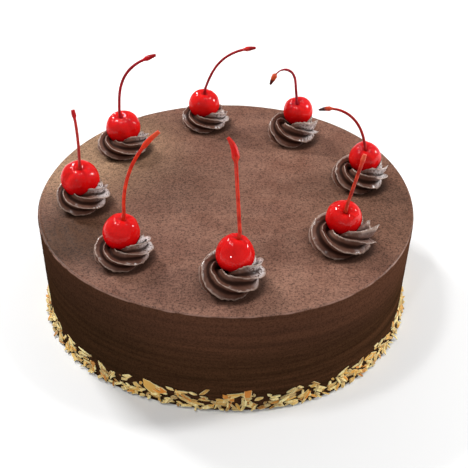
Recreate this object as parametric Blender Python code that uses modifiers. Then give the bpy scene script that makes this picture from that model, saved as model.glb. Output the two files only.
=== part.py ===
"""A round chocolate cake: an iced cylinder, a little out of round, with toasted
almond slivers pressed round its foot, and on its top eight piped star rosettes,
each holding a stemmed cherry. Metres, +Z up, the front of the cake towards -Y.
The origin is the middle of the flat underside."""

import math
import random
from collections import namedtuple

import bmesh
import bpy
from mathutils import Matrix, Vector

MM = 0.001

# Driving dimensions
CAKE_RADIUS = 115 * MM
CAKE_HEIGHT = 68.25 * MM
RIM_ROUND = 1.2 * MM
GAP = 0.3 * MM

# Out of round: share of the radius, number of lobes, direction of the first lobe
LOBES = ((0.0072, 3, math.radians(-41)), (0.0059, 4, math.radians(36.5)))

# The low bank of icing and crumbs at the foot, which the slivers lie on
BANK_OUT = 2.0 * MM
BANK_HEIGHT = 9 * MM
TURN_STEPS = 84

# Almond slivers: a row is its height, its lean from the wall and its count
ALMOND_SEED = 17
SliverRow = namedtuple("SliverRow", "height lean count")
SLIVER_ROWS = (
    SliverRow(2.6 * MM, math.radians(34), 66),
    SliverRow(5.6 * MM, math.radians(22), 56),
    SliverRow(8.8 * MM, math.radians(10), 40),
)
SLIVER_LENGTH = (6.5 * MM, 11 * MM)
SLIVER_WIDTH = (2.4 * MM, 3.6 * MM)
SLIVER_THICK = (1.1 * MM, 1.7 * MM)
SLIVER_EMBED = 0.45 * MM
SLIVER_CLEARANCE = 0.4 * MM
SLIVER_FAR_END = 0.62
SLIVER_OUTER_FACE = (0.93, 0.8)
UPRIGHT_SHARE = 0.08
UPRIGHT_TILT = (65, 90)

# The rope of icing in a rosette. Its radius, the radius and height of its path, its tail
# and the core are shares of the rosette's radius, and its twist is per turn of the path
ROPE = 0.40
ROPE_PATH = 0.60
ROPE_LIFT = 0.25
ROPE_RIDGES = 6
ROPE_GROOVE = 0.34
ROPE_TWIST = 1.0
ROPE_POINTS = 30
ROPE_START = math.radians(-15)
ROPE_TURN = math.radians(318)
TAIL_LENGTH = 0.52
TAIL_RISE = 0.06
CORE_RADIUS = 0.5
CORE_SIDES = 24
ROSETTE_VOXEL = 0.9 * MM
ROSETTE_TRIANGLES = 368

# Along the rope, as shares of its length: it is full from the first place on, climbs
# from the second and thins from the third
FULL_FROM = 0.14
CLIMB_FROM = 0.62
THIN_FROM = 0.84
START_THICKNESS = 0.55
END_THICKNESS = 0.78

# Cherries and stems
CHERRY_SIDES = 14
CHERRY_RINGS = 9
DIMPLE_DEPTH = 0.20
DIMPLE_WIDTH = 0.33
SEAT_GAP = 0.5 * MM
STEM_GAP = 0.6 * MM
STEM_RADIUS = 0.95 * MM
STEM_POINTS = 12
STEM_UPRIGHT = 0.16

# Along a stem, as shares of its length and of STEM_RADIUS: its shank, what the foot and
# the knob add, and what the knob's blunt end takes off again
SHANK = 0.85
FOOT_TO = 0.15
FOOT_MORE = 0.15
KNOB_FROM = 0.80
KNOB_TO = 0.93
KNOB_MORE = 0.60
END_FROM = 0.95
END_LESS = 0.40

# One place on the top: direction and distance from the middle, the rosette's radius,
# how far its tail turns from +X, and how many times its common height it is piled
Place = namedtuple("Place", "angle ring radius tail tall")
PLACES = (
    Place(math.radians(-87.8), 85.8 * MM, 17.6 * MM, math.radians(4), 1.28),
    Place(math.radians(-36.9), 82.0 * MM, 18.7 * MM, math.radians(-6), 1.12),
    Place(math.radians(10.0), 84.3 * MM, 17.1 * MM, math.radians(-4), 1.22),
    Place(math.radians(58.0), 81.7 * MM, 16.8 * MM, math.radians(-8), 1.35),
    Place(math.radians(100.9), 88.8 * MM, 17.0 * MM, math.radians(-8), 1.0),
    Place(math.radians(144.2), 86.6 * MM, 17.9 * MM, math.radians(6), 1.0),
    Place(math.radians(-171.1), 88.1 * MM, 16.5 * MM, math.radians(0), 1.2),
    Place(math.radians(-131.2), 86.3 * MM, 16.6 * MM, math.radians(8), 1.05),
)

# The cherry there: its radius, its middle's height over the icing and its shifts along
# +X and +Y, and how far its dimple leans to the front and to the right
Cherry = namedtuple("Cherry", "radius rise shift back lean roll")
CHERRIES = (
    Cherry(10.2 * MM, 17.6 * MM, 2.0 * MM, 2.2 * MM, math.radians(-6), math.radians(11)),
    Cherry(10.1 * MM, 16.0 * MM, 0.5 * MM, 1.8 * MM, math.radians(34), math.radians(-1)),
    Cherry(10.0 * MM, 17.1 * MM, 2.5 * MM, 1.4 * MM, math.radians(24), math.radians(-8)),
    Cherry(9.9 * MM, 19.1 * MM, 3.4 * MM, 2.6 * MM, math.radians(28), math.radians(-10)),
    Cherry(10.4 * MM, 14.8 * MM, -1.0 * MM, 0.7 * MM, math.radians(10), math.radians(3)),
    Cherry(11.2 * MM, 15.1 * MM, 0.4 * MM, 1.6 * MM, math.radians(12), math.radians(-7)),
    Cherry(11.0 * MM, 17.1 * MM, -0.8 * MM, 1.2 * MM, math.radians(18), math.radians(8)),
    Cherry(10.4 * MM, 15.5 * MM, -0.1 * MM, 1.8 * MM, math.radians(2), math.radians(10)),
)

# Its stem: length, the plane's lean to the back, the tilt to +X at each end, and the
# middle and half-width of the bend as shares of the length
Stem = namedtuple("Stem", "length lean first last middle spread")
STEMS = (
    Stem(55.0 * MM, math.radians(30), math.radians(-4), math.radians(-81), 1.00, 0.27),
    Stem(36.5 * MM, math.radians(12), math.radians(-11), math.radians(14), 0.06, 0.20),
    Stem(47.0 * MM, math.radians(8), math.radians(-14), math.radians(-130), 0.72, 0.67),
    Stem(42.5 * MM, math.radians(20), math.radians(-6), math.radians(-154), 0.63, 0.29),
    Stem(53.0 * MM, math.radians(8), math.radians(21), math.radians(83), 0.58, 0.45),
    Stem(53.0 * MM, math.radians(20), math.radians(2), math.radians(69), 0.57, 0.39),
    Stem(36.5 * MM, math.radians(12), math.radians(0), math.radians(-16), 0.92, 0.70),
    Stem(54.5 * MM, math.radians(28), math.radians(-11), math.radians(68), 0.63, 0.90),
)

# The block that cuts the rosettes off flat at the icing
FLOOR_BLOCK = Vector((0.4, 0.4, 0.04))


def clear_scene():
    for obj in list(bpy.data.objects):
        bpy.data.objects.remove(obj)


def new_collection(name):
    collection = bpy.data.collections.new(name)
    bpy.context.scene.collection.children.link(collection)
    return collection


def new_material(name, colour, roughness):
    material = bpy.data.materials.new(name)
    material.use_nodes = True
    shader = material.node_tree.nodes["Principled BSDF"]
    shader.inputs["Base Color"].default_value = (*colour, 1)
    shader.inputs["Roughness"].default_value = roughness
    shader.inputs["Metallic"].default_value = 0
    return material


def new_object(name, data, collection, material=None):
    obj = bpy.data.objects.new(name, data)
    collection.objects.link(obj)
    if material is not None:
        obj.data.materials.append(material)
    return obj


def mesh_from_bmesh(name, shape):
    mesh = bpy.data.meshes.new(name)
    shape.to_mesh(mesh)
    shape.free()
    return mesh


def evaluated_mesh(obj):
    """The object's mesh with its modifiers applied and the caps of a curve welded."""
    bpy.context.view_layer.update()
    graph = bpy.context.evaluated_depsgraph_get()
    mesh = bpy.data.meshes.new_from_object(obj.evaluated_get(graph))
    shape = bmesh.new()
    shape.from_mesh(mesh)
    bmesh.ops.remove_doubles(shape, verts=shape.verts, dist=1e-6)
    shape.to_mesh(mesh)
    shape.free()
    return mesh


def smoothstep(value):
    value = min(max(value, 0.0), 1.0)
    return value * value * (3 - 2 * value)


def roundness(angle):
    """The cake's radius in this direction, as a share of CAKE_RADIUS."""
    return 1 + sum(share * math.cos(count * (angle - first)) for share, count, first in LOBES)


def wall_radius(height):
    """The round cake's radius at this height, bank included, before the lobes."""
    return CAKE_RADIUS + BANK_OUT * max(0.0, 1 - height / BANK_HEIGHT) ** 1.5


def cake_profile():
    """The turned outline, from the middle of the top down to the middle of the base."""
    points = [(0, CAKE_HEIGHT)]
    for step in range(4):
        turn = math.radians(30) * step
        points.append(
            (
                CAKE_RADIUS - RIM_ROUND * (1 - math.sin(turn)),
                CAKE_HEIGHT - RIM_ROUND * (1 - math.cos(turn)),
            )
        )
    for share in (1, 0.55, 0.25, 0):
        height = BANK_HEIGHT * share
        points.append((wall_radius(height), height))
    points.append((0, 0))
    return points


def build_cake_body(collection, material):
    mesh = bpy.data.meshes.new("cake_profile")
    points = cake_profile()
    edges = [(start, start + 1) for start in range(len(points) - 1)]
    mesh.from_pydata([(across, 0, up) for across, up in points], edges, [])
    turned = new_object("cake_turned", mesh, collection)
    screw = turned.modifiers.new("turn", "SCREW")
    screw.steps = TURN_STEPS
    screw.render_steps = TURN_STEPS
    screw.use_merge_vertices = True
    screw.merge_threshold = 1e-5
    body_mesh = evaluated_mesh(turned)
    bpy.data.objects.remove(turned)
    for vertex in body_mesh.vertices:
        share = roundness(math.atan2(vertex.co.y, vertex.co.x))
        vertex.co.x *= share
        vertex.co.y *= share
    return new_object("cake", body_mesh, collection, material)


def sliver_frames():
    """Yields each almond sliver as its size and the matrix that lays it on the wall."""
    draw = random.Random(ALMOND_SEED)
    for row in SLIVER_ROWS:
        for index in range(row.count):
            angle = math.tau * (index + draw.uniform(-0.35, 0.35)) / row.count
            length = draw.triangular(*SLIVER_LENGTH, SLIVER_LENGTH[0] + 1.5 * MM)
            width = draw.uniform(*SLIVER_WIDTH)
            thick = draw.uniform(*SLIVER_THICK)
            tilt = draw.gauss(0, math.radians(22))
            if draw.random() < UPRIGHT_SHARE:
                tilt = math.radians(draw.uniform(*UPRIGHT_TILT))
                length = SLIVER_LENGTH[0]
            lean = row.lean + draw.uniform(-0.15, 0.15)
            height = row.height + draw.uniform(-1.0, 1.0) * MM
            reach = (length * abs(math.sin(tilt)) + width * abs(math.cos(tilt))) / 2
            low = reach * math.cos(lean) + thick / 2
            height = max(height, low + SLIVER_CLEARANCE)
            out = wall_radius(height) * roundness(angle)
            out += (thick / 2 - SLIVER_EMBED) * math.cos(lean)
            # Local X is the length and local Z the flat face, which looks out and up
            frame = (
                Matrix.Rotation(angle, 4, "Z")
                @ Matrix.Translation((out, 0, height))
                @ Matrix.Rotation(math.pi / 2 - lean, 4, "Y")
                @ Matrix.Rotation(math.pi / 2 + tilt, 4, "Z")
            )
            yield Vector((length, width, thick)), frame


def sliver_mesh(size, frame):
    """A cube stretched to the sliver's size, narrower at its far end and outer face."""
    shape = bmesh.new()
    bmesh.ops.create_cube(shape, size=1)
    for vertex in shape.verts:
        if vertex.co.x > 0:
            vertex.co.y *= SLIVER_FAR_END
        if vertex.co.z > 0:
            vertex.co.x *= SLIVER_OUTER_FACE[0]
            vertex.co.y *= SLIVER_OUTER_FACE[1]
        vertex.co = frame @ (vertex.co * size)
    return mesh_from_bmesh("sliver", shape)


def outer_body(mesh):
    """Keeps the largest body of a mesh: loose scraps and sealed hollows are dropped."""
    shape = bmesh.new()
    shape.from_mesh(mesh)
    unseen = set(shape.verts)
    bodies = []
    while unseen:
        body = set()
        front = [unseen.pop()]
        while front:
            vertex = front.pop()
            body.add(vertex)
            near = {edge.other_vert(vertex) for edge in vertex.link_edges} & unseen
            unseen -= near
            front.extend(near)
        bodies.append(body)
    bodies.sort(key=len)
    for body in bodies[:-1]:
        bmesh.ops.delete(shape, geom=list(body), context="VERTS")
    shape.to_mesh(mesh)
    shape.free()


def build_cake(collection, material):
    """The iced body and its almond slivers, joined into one solid by one union."""
    body = build_cake_body(collection, material)
    slivers = new_collection("slivers")
    for size, frame in sliver_frames():
        new_object("sliver", sliver_mesh(size, frame), slivers)
    union = body.modifiers.new("slivers", "BOOLEAN")
    union.operation = "UNION"
    union.operand_type = "COLLECTION"
    union.collection = slivers
    joined = evaluated_mesh(body)
    body.modifiers.clear()
    for sliver in list(slivers.objects):
        bpy.data.objects.remove(sliver)
    bpy.data.collections.remove(slivers)
    outer_body(joined)
    body.data = joined
    joined.shade_smooth()
    joined.set_sharp_from_angle(angle=math.radians(30))
    return body


def star_outline(collection):
    """The piping nozzle's outline as a flat curve of radius 1: sharp ridges between
    wide hollow grooves."""
    curve = bpy.data.curves.new("star", "CURVE")
    count = ROPE_RIDGES * 4
    spline = curve.splines.new("POLY")
    spline.points.add(count - 1)
    for index, point in enumerate(spline.points):
        turn = math.tau * index / count
        reach = 1 - ROPE_GROOVE * abs(math.sin(ROPE_RIDGES / 2 * turn)) ** 0.7
        point.co = (reach * math.cos(turn), reach * math.sin(turn), 0, 1)
    spline.use_cyclic_u = True
    return new_object("star", curve, collection)


def rope_path(radius):
    """Yields each point of a rosette's rope: its place, its turn about the rope and its
    thickness as a share. The rope runs round once, climbs on its own start and ends
    in a straight tail."""
    arc = ROPE_TURN * ROPE_PATH
    whole = arc + TAIL_LENGTH
    for index in range(ROPE_POINTS):
        run = whole * index / (ROPE_POINTS - 1)
        angle = ROPE_START + min(run, arc) / ROPE_PATH
        tail = max(run - arc, 0)
        place = Vector((math.cos(angle), math.sin(angle), 0)) * ROPE_PATH
        place += Vector((-math.sin(angle), math.cos(angle), 0)) * tail
        share = run / whole
        place.z = ROPE_LIFT + TAIL_RISE * smoothstep((share - CLIMB_FROM) / (1 - CLIMB_FROM))
        thickness = START_THICKNESS + (1 - START_THICKNESS) * smoothstep(share / FULL_FROM)
        thickness -= (1 - END_THICKNESS) * smoothstep((share - THIN_FROM) / (1 - THIN_FROM))
        yield place * radius, ROPE_TWIST * run / ROPE_PATH, thickness


def rosette_mesh(name, place, collection):
    """The star rope round a plain core, made one closed body, thinned out, then
    stretched to its height. It reaches a little below the icing."""
    radius = place.radius
    star = star_outline(collection)
    star.scale = (radius * ROPE, radius * ROPE, 1)
    curve = bpy.data.curves.new(name, "CURVE")
    curve.dimensions = "3D"
    curve.twist_mode = "Z_UP"
    curve.bevel_mode = "OBJECT"
    curve.bevel_object = star
    curve.use_fill_caps = True
    spline = curve.splines.new("POLY")
    spline.points.add(ROPE_POINTS - 1)
    for point, (middle, turn, thickness) in zip(spline.points, rope_path(radius)):
        point.co = (*middle, 1)
        point.tilt = turn
        point.radius = thickness
    rope = new_object(name + "_rope", curve, collection)
    mesh = evaluated_mesh(rope)
    bpy.data.objects.remove(rope)
    bpy.data.objects.remove(star)
    shape = bmesh.new()
    shape.from_mesh(mesh)
    bmesh.ops.create_cone(
        shape,
        cap_ends=True,
        segments=CORE_SIDES,
        radius1=radius * CORE_RADIUS,
        radius2=radius * CORE_RADIUS,
        depth=radius * ROPE,
        matrix=Matrix.Translation((0, 0, radius * ROPE / 2)),
    )
    bmesh.ops.recalc_face_normals(shape, faces=shape.faces)
    shape.to_mesh(mesh)
    shape.free()
    solid = new_object(name + "_solid", mesh, collection)
    remesh = solid.modifiers.new("one body", "REMESH")
    remesh.mode = "VOXEL"
    remesh.voxel_size = ROSETTE_VOXEL
    count = 2 * len(evaluated_mesh(solid).polygons)
    thin = solid.modifiers.new("fewer faces", "DECIMATE")
    thin.ratio = ROSETTE_TRIANGLES / count
    thinned = evaluated_mesh(solid)
    bpy.data.objects.remove(solid)
    outer_body(thinned)
    thinned.transform(Matrix.Diagonal((1, 1, place.tall, 1)))
    return thinned


def cherry_mesh(radius):
    """A sphere drawn in at the top by a dimple, where the stem stands."""
    shape = bmesh.new()
    bmesh.ops.create_uvsphere(
        shape, u_segments=CHERRY_SIDES, v_segments=CHERRY_RINGS, radius=1
    )
    for vertex in shape.verts:
        polar = vertex.co.angle(Vector((0, 0, 1)))
        drawn_in = DIMPLE_DEPTH * math.exp(-((polar / DIMPLE_WIDTH) ** 2))
        vertex.co *= radius * (1 - drawn_in)
    return mesh_from_bmesh("cherry", shape)


def cherry_axis(cherry):
    """The direction that the cherry's dimple looks in."""
    return Vector(
        (
            math.sin(cherry.roll) * math.cos(cherry.lean),
            -math.sin(cherry.lean),
            math.cos(cherry.roll) * math.cos(cherry.lean),
        )
    )


def icing_point(place):
    """The middle of a rosette's underside, a gap above the icing."""
    across = Vector((math.cos(place.angle), math.sin(place.angle), 0)) * place.ring
    return across + Vector((0, 0, CAKE_HEIGHT + GAP))


def cherry_middle(place, cherry):
    return icing_point(place) + Vector((cherry.shift, cherry.back, cherry.rise - GAP))


def build_rosette(name, place, cherry, parts, cutters, floor, material):
    mesh = rosette_mesh(name, place, cutters)
    rosette = new_object(name, mesh, parts, material)
    rosette.location = icing_point(place)
    rosette.rotation_euler.z = place.tail
    shape = bmesh.new()
    bmesh.ops.create_uvsphere(
        shape,
        u_segments=CHERRY_SIDES,
        v_segments=CHERRY_RINGS,
        radius=cherry.radius + SEAT_GAP,
    )
    seat = new_object(name + "_seat", mesh_from_bmesh("seat", shape), cutters)
    seat.location = cherry_middle(place, cherry)
    aim_at_axis(seat, cherry)
    for cutter in (seat, floor):
        cutter.hide_render = True
        cutter.display_type = "WIRE"
        cut = rosette.modifiers.new(cutter.name, "BOOLEAN")
        cut.operation = "DIFFERENCE"
        cut.object = cutter
    joined = evaluated_mesh(rosette)
    rosette.modifiers.clear()
    outer_body(joined)
    rosette.data = joined
    joined.shade_smooth()
    joined.set_sharp_from_angle(angle=math.radians(40))


def aim_at_axis(obj, cherry):
    obj.rotation_mode = "QUATERNION"
    obj.rotation_quaternion = Vector((0, 0, 1)).rotation_difference(cherry_axis(cherry))


def build_cherry(name, place, cherry, collection, material):
    obj = new_object(name, cherry_mesh(cherry.radius), collection, material)
    obj.location = cherry_middle(place, cherry)
    aim_at_axis(obj, cherry)
    obj.data.shade_smooth()


def stem_thickness(share):
    """Thin, a little wider at the foot, with a knob where it left the twig."""
    foot = FOOT_MORE * (1 - smoothstep(share / FOOT_TO))
    knob = KNOB_MORE * smoothstep((share - KNOB_FROM) / (KNOB_TO - KNOB_FROM))
    end = END_LESS * smoothstep((share - END_FROM) / (1 - END_FROM))
    return SHANK + foot + knob - end


def stem_path(cherry, stem):
    """Yields the points of a stem's middle line from its foot. It leaves along the
    cherry's axis, then turns from its first tilt to its last inside a leaning plane."""
    upright = Vector((0, math.sin(stem.lean), math.cos(stem.lean)))
    sideways = Vector((1, 0, 0))
    steps = STEM_POINTS - 1
    point = Vector((0, 0, 0))
    yield point
    for index in range(steps):
        share = (index + 0.5) / steps
        bend = smoothstep((share - stem.middle + stem.spread) / (2 * stem.spread))
        tilt = stem.first + (stem.last - stem.first) * bend
        heading = upright * math.cos(tilt) + sideways * math.sin(tilt)
        heading = cherry_axis(cherry).lerp(heading, smoothstep(share / STEM_UPRIGHT))
        point = point + heading.normalized() * (stem.length / steps)
        yield point


def build_stem(name, place, cherry, stem, collection, material):
    curve = bpy.data.curves.new(name, "CURVE")
    curve.dimensions = "3D"
    curve.bevel_depth = STEM_RADIUS
    curve.bevel_resolution = 2
    curve.use_fill_caps = True
    spline = curve.splines.new("POLY")
    spline.points.add(STEM_POINTS - 1)
    for index, middle in enumerate(stem_path(cherry, stem)):
        spline.points[index].co = (*middle, 1)
        spline.points[index].radius = stem_thickness(index / (STEM_POINTS - 1))
    obj = new_object(name, curve, collection, material)
    foot = cherry.radius * (1 - DIMPLE_DEPTH) + STEM_GAP
    obj.location = cherry_middle(place, cherry) + cherry_axis(cherry) * foot


def main():
    clear_scene()
    parts = new_collection("chocolate_cake")
    cutters = new_collection("cutters")
    icing = new_material("icing", (0.115, 0.065, 0.045), 0.55)
    piping = new_material("piping", (0.085, 0.055, 0.045), 0.35)
    fruit = new_material("cherry", (0.70, 0.010, 0.012), 0.12)
    stalk = new_material("stem", (0.42, 0.015, 0.012), 0.35)
    build_cake(parts, icing)
    shape = bmesh.new()
    bmesh.ops.create_cube(shape, size=1)
    floor = new_object("floor", mesh_from_bmesh("floor", shape), cutters)
    floor.scale = FLOOR_BLOCK
    floor.location = (0, 0, CAKE_HEIGHT + GAP - FLOOR_BLOCK.z / 2)
    sets = zip(PLACES, CHERRIES, STEMS)
    for number, (place, cherry, stem) in enumerate(sets, 1):
        build_rosette(f"rosette_{number}", place, cherry, parts, cutters, floor, piping)
        build_cherry(f"cherry_{number}", place, cherry, parts, fruit)
        build_stem(f"stem_{number}", place, cherry, stem, parts, stalk)


main()
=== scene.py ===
# %% [markdown]
# # A chocolate cake with cherries
#
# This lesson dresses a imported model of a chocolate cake. The model gives the true solids: the iced body,
# eight piped rosettes, eight cherries and their stems. Here each of them gets its fine surface and its
# finish, in the same place. Everything is in metres, +Z is up, and the front of the cake looks to -Y.

# %% Load the frame
import itertools
import math
import random
from collections import namedtuple

import bpy
import numpy as np
from mathutils import Matrix, Vector


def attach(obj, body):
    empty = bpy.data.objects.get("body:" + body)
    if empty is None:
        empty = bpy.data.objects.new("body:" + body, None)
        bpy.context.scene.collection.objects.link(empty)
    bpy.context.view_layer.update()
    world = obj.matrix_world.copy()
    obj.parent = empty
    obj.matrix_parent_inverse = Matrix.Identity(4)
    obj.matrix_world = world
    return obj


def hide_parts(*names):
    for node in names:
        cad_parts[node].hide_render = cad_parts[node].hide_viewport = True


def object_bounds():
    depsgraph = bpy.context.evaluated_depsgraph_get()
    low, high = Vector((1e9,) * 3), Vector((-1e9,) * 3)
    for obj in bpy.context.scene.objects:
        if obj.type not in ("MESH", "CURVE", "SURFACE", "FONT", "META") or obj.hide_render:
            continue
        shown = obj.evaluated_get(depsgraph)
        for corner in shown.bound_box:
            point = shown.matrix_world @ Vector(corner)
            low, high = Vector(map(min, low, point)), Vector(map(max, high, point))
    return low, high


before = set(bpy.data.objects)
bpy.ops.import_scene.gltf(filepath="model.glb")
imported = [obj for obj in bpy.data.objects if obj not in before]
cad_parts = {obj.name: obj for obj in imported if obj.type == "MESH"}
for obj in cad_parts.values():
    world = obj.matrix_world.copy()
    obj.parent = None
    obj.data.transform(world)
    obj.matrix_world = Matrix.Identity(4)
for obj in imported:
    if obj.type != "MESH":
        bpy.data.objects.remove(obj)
cad_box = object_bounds()
MM = 0.001
DEG = math.pi / 180
print("CAD box, mm:", [[round(value / MM, 1) for value in corner] for corner in cad_box])

# %% [markdown]
# ## Camera
#
# The photograph looks down on the front of the cake, as someone does who stands at the table. The view was
# worked out from the ellipses of the rim and the foot, which fix the height of the eye, its distance and
# the focal length. The camera also leans by less than a degree, as hand-held ones do.

# %% Camera
CAMERA_TARGET = Vector((4.5 * MM, 0, 35.8 * MM))
CAMERA_DISTANCE = 517.5 * MM
CAMERA_ELEVATION = 36.98 * DEG
CAMERA_LEAN = 0.90 * DEG
SENSOR_MM = 36
LENS_MM = 61.6
NEAREST_SEEN = 10 * MM


def aimed_matrix(place, target, lean=0.0):
    """The matrix whose -Z axis looks from place to target, with +X level, then turned by lean about that
    axis."""
    back = (place - target).normalized()
    right = Vector((0, 0, 1)).cross(back).normalized()
    up = back.cross(right)
    leant_right = right * math.cos(lean) + up * math.sin(lean)
    leant_up = up * math.cos(lean) - right * math.sin(lean)
    turn = Matrix((leant_right, leant_up, back)).transposed()
    return Matrix.Translation(place) @ turn.to_4x4()


def make_camera():
    """The camera stands CAMERA_DISTANCE from its target, CAMERA_ELEVATION above the level, and looks at it."""
    lens = bpy.data.cameras.new("camera")
    lens.sensor_width = SENSOR_MM
    lens.lens = LENS_MM
    lens.clip_start = NEAREST_SEEN
    camera = bpy.data.objects.new("camera", lens)
    bpy.context.scene.collection.objects.link(camera)
    away = Vector((0, -math.cos(CAMERA_ELEVATION), math.sin(CAMERA_ELEVATION)))
    camera.matrix_world = aimed_matrix(CAMERA_TARGET + away * CAMERA_DISTANCE, CAMERA_TARGET, CAMERA_LEAN)
    bpy.context.scene.camera = camera
    return camera


camera = make_camera()
print("camera at, mm:", [round(value / MM) for value in camera.matrix_world.translation])

# %% [markdown]
# ## Light and floor
#
# The cake was lit from above and behind: the top is bright, the front wall is dark, and the glossy ridges
# and cherries carry small glints. A pale surround gives the soft light, and area lights give the rest. The
# window light, behind on the left, makes the sheen on the top. The right light makes the glints on the
# right of each rosette. Two small lamps above add glints on the cherries, and a weak light in front keeps
# the wall readable. The floor is a plain pale sheet.

# %% Lights and floor
LIGHTS = (
    # name, place in metres, size in metres, power in watts
    ("window_light", (-0.80, 0.80, 1.05), (0.32, 0.24), 15.0),
    ("right_light", (1.05, 0.20, 0.50), (0.20, 0.30), 9.0),
    ("left_lamp", (-0.32, -0.06, 0.95), (0.12, 0.12), 2.0),
    ("right_lamp", (0.36, 0.10, 0.95), (0.10, 0.10), 1.5),
    ("front_light", (-0.5, -1.1, 0.6), (0.10, 0.10), 2.6),
)
WORLD_STRENGTH = 0.34
FLOOR_SIZE = 8.0
FLOOR_DROP = 0.2 * MM
FLOOR_GREY = 0.95
LIGHTS_AIM = Vector((0, 0, 50 * MM))


def make_lights():
    """One rectangular area light for each row of LIGHTS, aimed at LIGHTS_AIM, and an even white surround."""
    for name, place, size, power in LIGHTS:
        lamp = bpy.data.lights.new(name, "AREA")
        lamp.shape = "RECTANGLE"
        lamp.size, lamp.size_y = size
        lamp.energy = power
        light = bpy.data.objects.new(name, lamp)
        bpy.context.scene.collection.objects.link(light)
        light.matrix_world = aimed_matrix(Vector(place), LIGHTS_AIM)
    world = bpy.data.worlds.new("studio")
    world.use_nodes = True
    background = world.node_tree.nodes["Background"]
    background.inputs["Color"].default_value = (1, 1, 1, 1)
    background.inputs["Strength"].default_value = WORLD_STRENGTH
    bpy.context.scene.world = world


def make_floor():
    """A flat square with sides of FLOOR_SIZE, FLOOR_DROP below the underside of the cake."""
    half = FLOOR_SIZE / 2
    corners = ((-half, -half), (half, -half), (half, half), (-half, half))
    mesh = bpy.data.meshes.new("floor")
    mesh.from_pydata([(x, y, -FLOOR_DROP) for x, y in corners], [], [(0, 1, 2, 3)])
    floor = bpy.data.objects.new("floor", mesh)
    bpy.context.scene.collection.objects.link(floor)
    material = bpy.data.materials.new("floor")
    material.use_nodes = True
    shader = material.node_tree.nodes["Principled BSDF"]
    shader.inputs["Base Color"].default_value = (FLOOR_GREY, FLOOR_GREY, FLOOR_GREY, 1)
    shader.inputs["Roughness"].default_value = 0.7
    mesh.materials.append(material)


make_lights()
make_floor()
bpy.context.scene.view_settings.view_transform = "Standard"
print("lights:", len(LIGHTS))

# %% [markdown]
# ## Tools for surfaces
#
# Every piece below is a grid of points worked out by a formula. The helpers turn such a grid into a mesh,
# and give smooth random bumps: numbers drawn at the corners of a lattice and blended between them, which
# numpy does for a whole surface at once.

# %% Formulas for surfaces
LATTICE_SIDE = 32


def smoothstep(value):
    """0 below 0, 1 above 1, and an S-shaped rise between them."""
    value = np.clip(value, 0, 1)
    return value * value * (3 - 2 * value)


def bell(distance, width):
    """1 at distance 0, falling away to nothing over a few widths."""
    return np.exp(-((distance / width) ** 2))


def lattice_noise(points, seed):
    """Random numbers from -1 to 1 at whole-number points, blended by smoothstep in between. The points are
    an array whose last axis is x, y and z, and the lattice starts again after LATTICE_SIDE steps."""
    table = np.random.default_rng(seed).uniform(-1, 1, (LATTICE_SIDE,) * 3)
    cell = np.floor(points).astype(int)
    part = smoothstep(points - cell)
    total = np.zeros(points.shape[:-1])
    for corner in itertools.product((0, 1), repeat=3):
        weight = np.prod(np.where(np.array(corner), part, 1 - part), axis=-1)
        at = (cell + np.array(corner)) % LATTICE_SIDE
        total += weight * table[at[..., 0], at[..., 1], at[..., 2]]
    return total


def rough_noise(points, seed, octaves=3):
    """Lattice noise, plus the same twice as fine and half as strong, and so on, over the sum of the
    strengths."""
    layers = [lattice_noise(points * 2**octave, seed + octave) / 2**octave for octave in range(octaves)]
    return sum(layers) / sum(1 / 2**octave for octave in range(octaves))


def once_round(count):
    """So many directions, evenly round a full turn."""
    return np.arange(count) / count * math.tau


def unit(vectors):
    """Each vector divided by its own length."""
    return vectors / np.linalg.norm(vectors, axis=-1, keepdims=True)


two_points = np.array([[0, 0, 0], [0.5, 0, 0]])
print("noise at the lattice's corner and beside it:", lattice_noise(two_points, 1).round(3))

# %% Meshes from grids
def sheet_faces(rows, columns):
    """The quads of a grid whose columns run once round and join up, with its points numbered row by row."""
    row, column = np.meshgrid(np.arange(rows - 1), np.arange(columns), indexing="ij")
    here, below = row * columns, (row + 1) * columns
    after = (column + 1) % columns
    return np.stack([here + column, here + after, below + after, below + column], -1).reshape(-1, 4)


def fan_faces(ring, middle, outward):
    """Triangles from a middle point to a ring of points, wound either way."""
    after = np.roll(ring, -1)
    hub = np.full(len(ring), middle)
    return np.stack([hub, ring, after] if outward else [hub, after, ring], -1)


def closed_grid(points):
    """The points, quads and triangles of a grid (rows, columns, 3) that runs round, closed at its first and
    last row by a fan to the mean of that row."""
    rows, columns = points.shape[:2]
    ends = np.stack([points[0].mean(0), points[-1].mean(0)])
    whole = np.concatenate([points.reshape(-1, 3), ends])
    last = (rows - 1) * columns
    first_fan = fan_faces(np.arange(columns), rows * columns, False)
    last_fan = fan_faces(np.arange(columns) + last, rows * columns + 1, True)
    return whole, sheet_faces(rows, columns), np.concatenate([first_fan, last_fan])


def signed_volume(points, triangles):
    """The sum of a . (b x c) / 6 over the triangles, which is positive where they face outwards."""
    a, b, c = (points[triangles[:, side]] for side in range(3))
    return float(np.einsum("ij,ij->", a, np.cross(b, c))) / 6


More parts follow.
